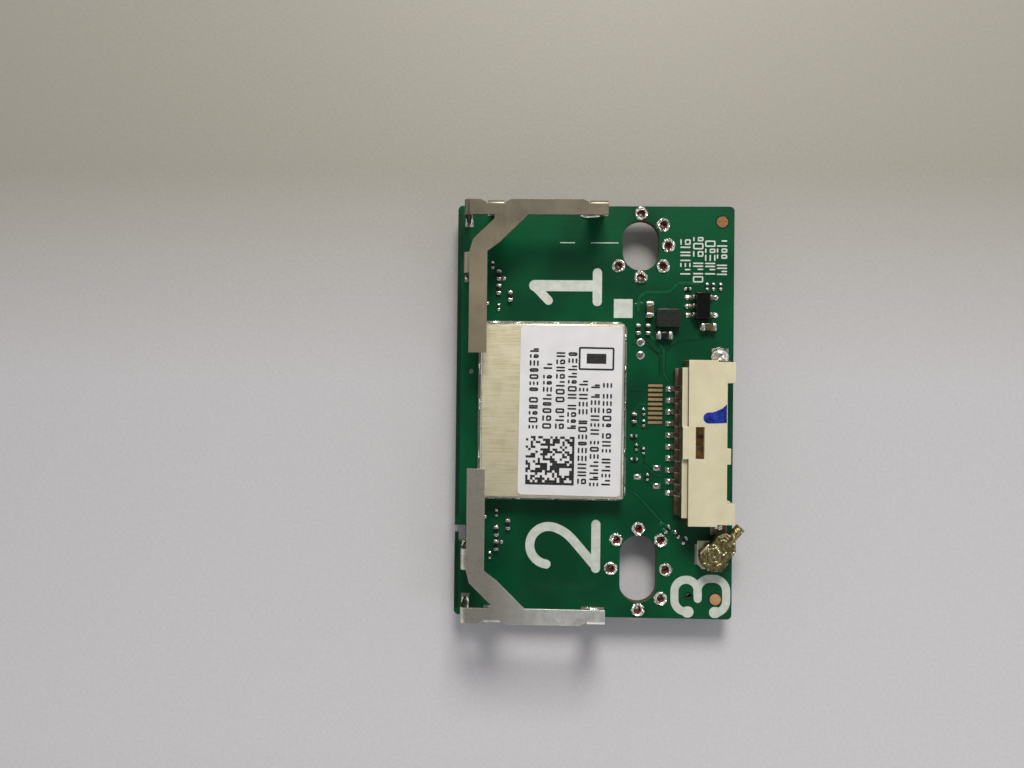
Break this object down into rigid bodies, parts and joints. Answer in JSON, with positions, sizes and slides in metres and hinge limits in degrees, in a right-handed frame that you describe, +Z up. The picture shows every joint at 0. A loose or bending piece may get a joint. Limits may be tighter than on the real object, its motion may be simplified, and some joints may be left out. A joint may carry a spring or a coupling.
{
  "type": "wifi module",
  "caption": "Green circuit board with a labelled shield can, two raised sheet-metal antennas, a side-entry multi-way connector and a coaxial plug.",
  "frame": {"origin": "centre of the circuit board's flat underside", "axes": "+X across the board towards the multi-way connector, +Y along the board, +Z up from the parts side"},
  "size_m": [0.031, 0.0446, 0.0062],
  "materials": {
    "solder_mask": "satin",
    "tinned_copper": "satin",
    "bare_copper": "satin",
    "gilt_copper": "satin",
    "nickel_silver": "satin",
    "solder": "gloss",
    "label_paper": "matte",
    "black_epoxy": "matte",
    "ferrite": "matte",
    "brown_ceramic": "satin",
    "dark_ceramic": "satin",
    "tinplate": "satin",
    "natural_nylon": "matte",
    "plated_brass": "satin",
    "moulded_cream": "matte",
    "white_insulator": "matte",
    "legend_ink": "matte",
    "print_ink": "matte",
    "marker_ink": "satin"
  },
  "bodies": {
    "root": {"pcb": "solder_mask", "slot_vias_upper": "tinned_copper", "slot_vias_lower": "tinned_copper", "fiducials": "bare_copper", "test_fingers": "gilt_copper", "test_lands": "tinned_copper", "spare_lands": "tinned_copper", "antenna_lands": "tinned_copper", "shield_land": "tinned_copper", "chip_lands": "tinned_copper", "connector_lands": "tinned_copper", "coax_lands": "tinned_copper", "shield_can": "nickel_silver", "shield_solder": "solder", "shield_label": "label_paper", "radio_chip": "black_epoxy", "amplifiers": "black_epoxy", "crystal": "nickel_silver", "antenna_upper": "tinplate", "antenna_lower": "tinplate", "antenna_solder": "solder", "connector_housing": "natural_nylon", "connector_contacts": "tinned_copper", "connector_nails": "tinned_copper", "coax_base": "moulded_cream", "coax_ring": "plated_brass", "coax_pin": "plated_brass", "plug_shell": "plated_brass", "plug_insulator": "white_insulator", "plug_crimp": "plated_brass", "power_inductor": "ferrite", "inductor_terminals": "tinned_copper", "converter_chip": "black_epoxy", "converter_leads": "tinned_copper", "bead_body": "ferrite", "capacitor_bodies": "brown_ceramic", "large_chip_ends": "tinned_copper", "small_chip_bodies": "dark_ceramic", "small_chip_ends": "tinned_copper", "tiny_chip_bodies": "dark_ceramic", "tiny_chip_ends": "tinned_copper"}
  },
  "joints": []
}
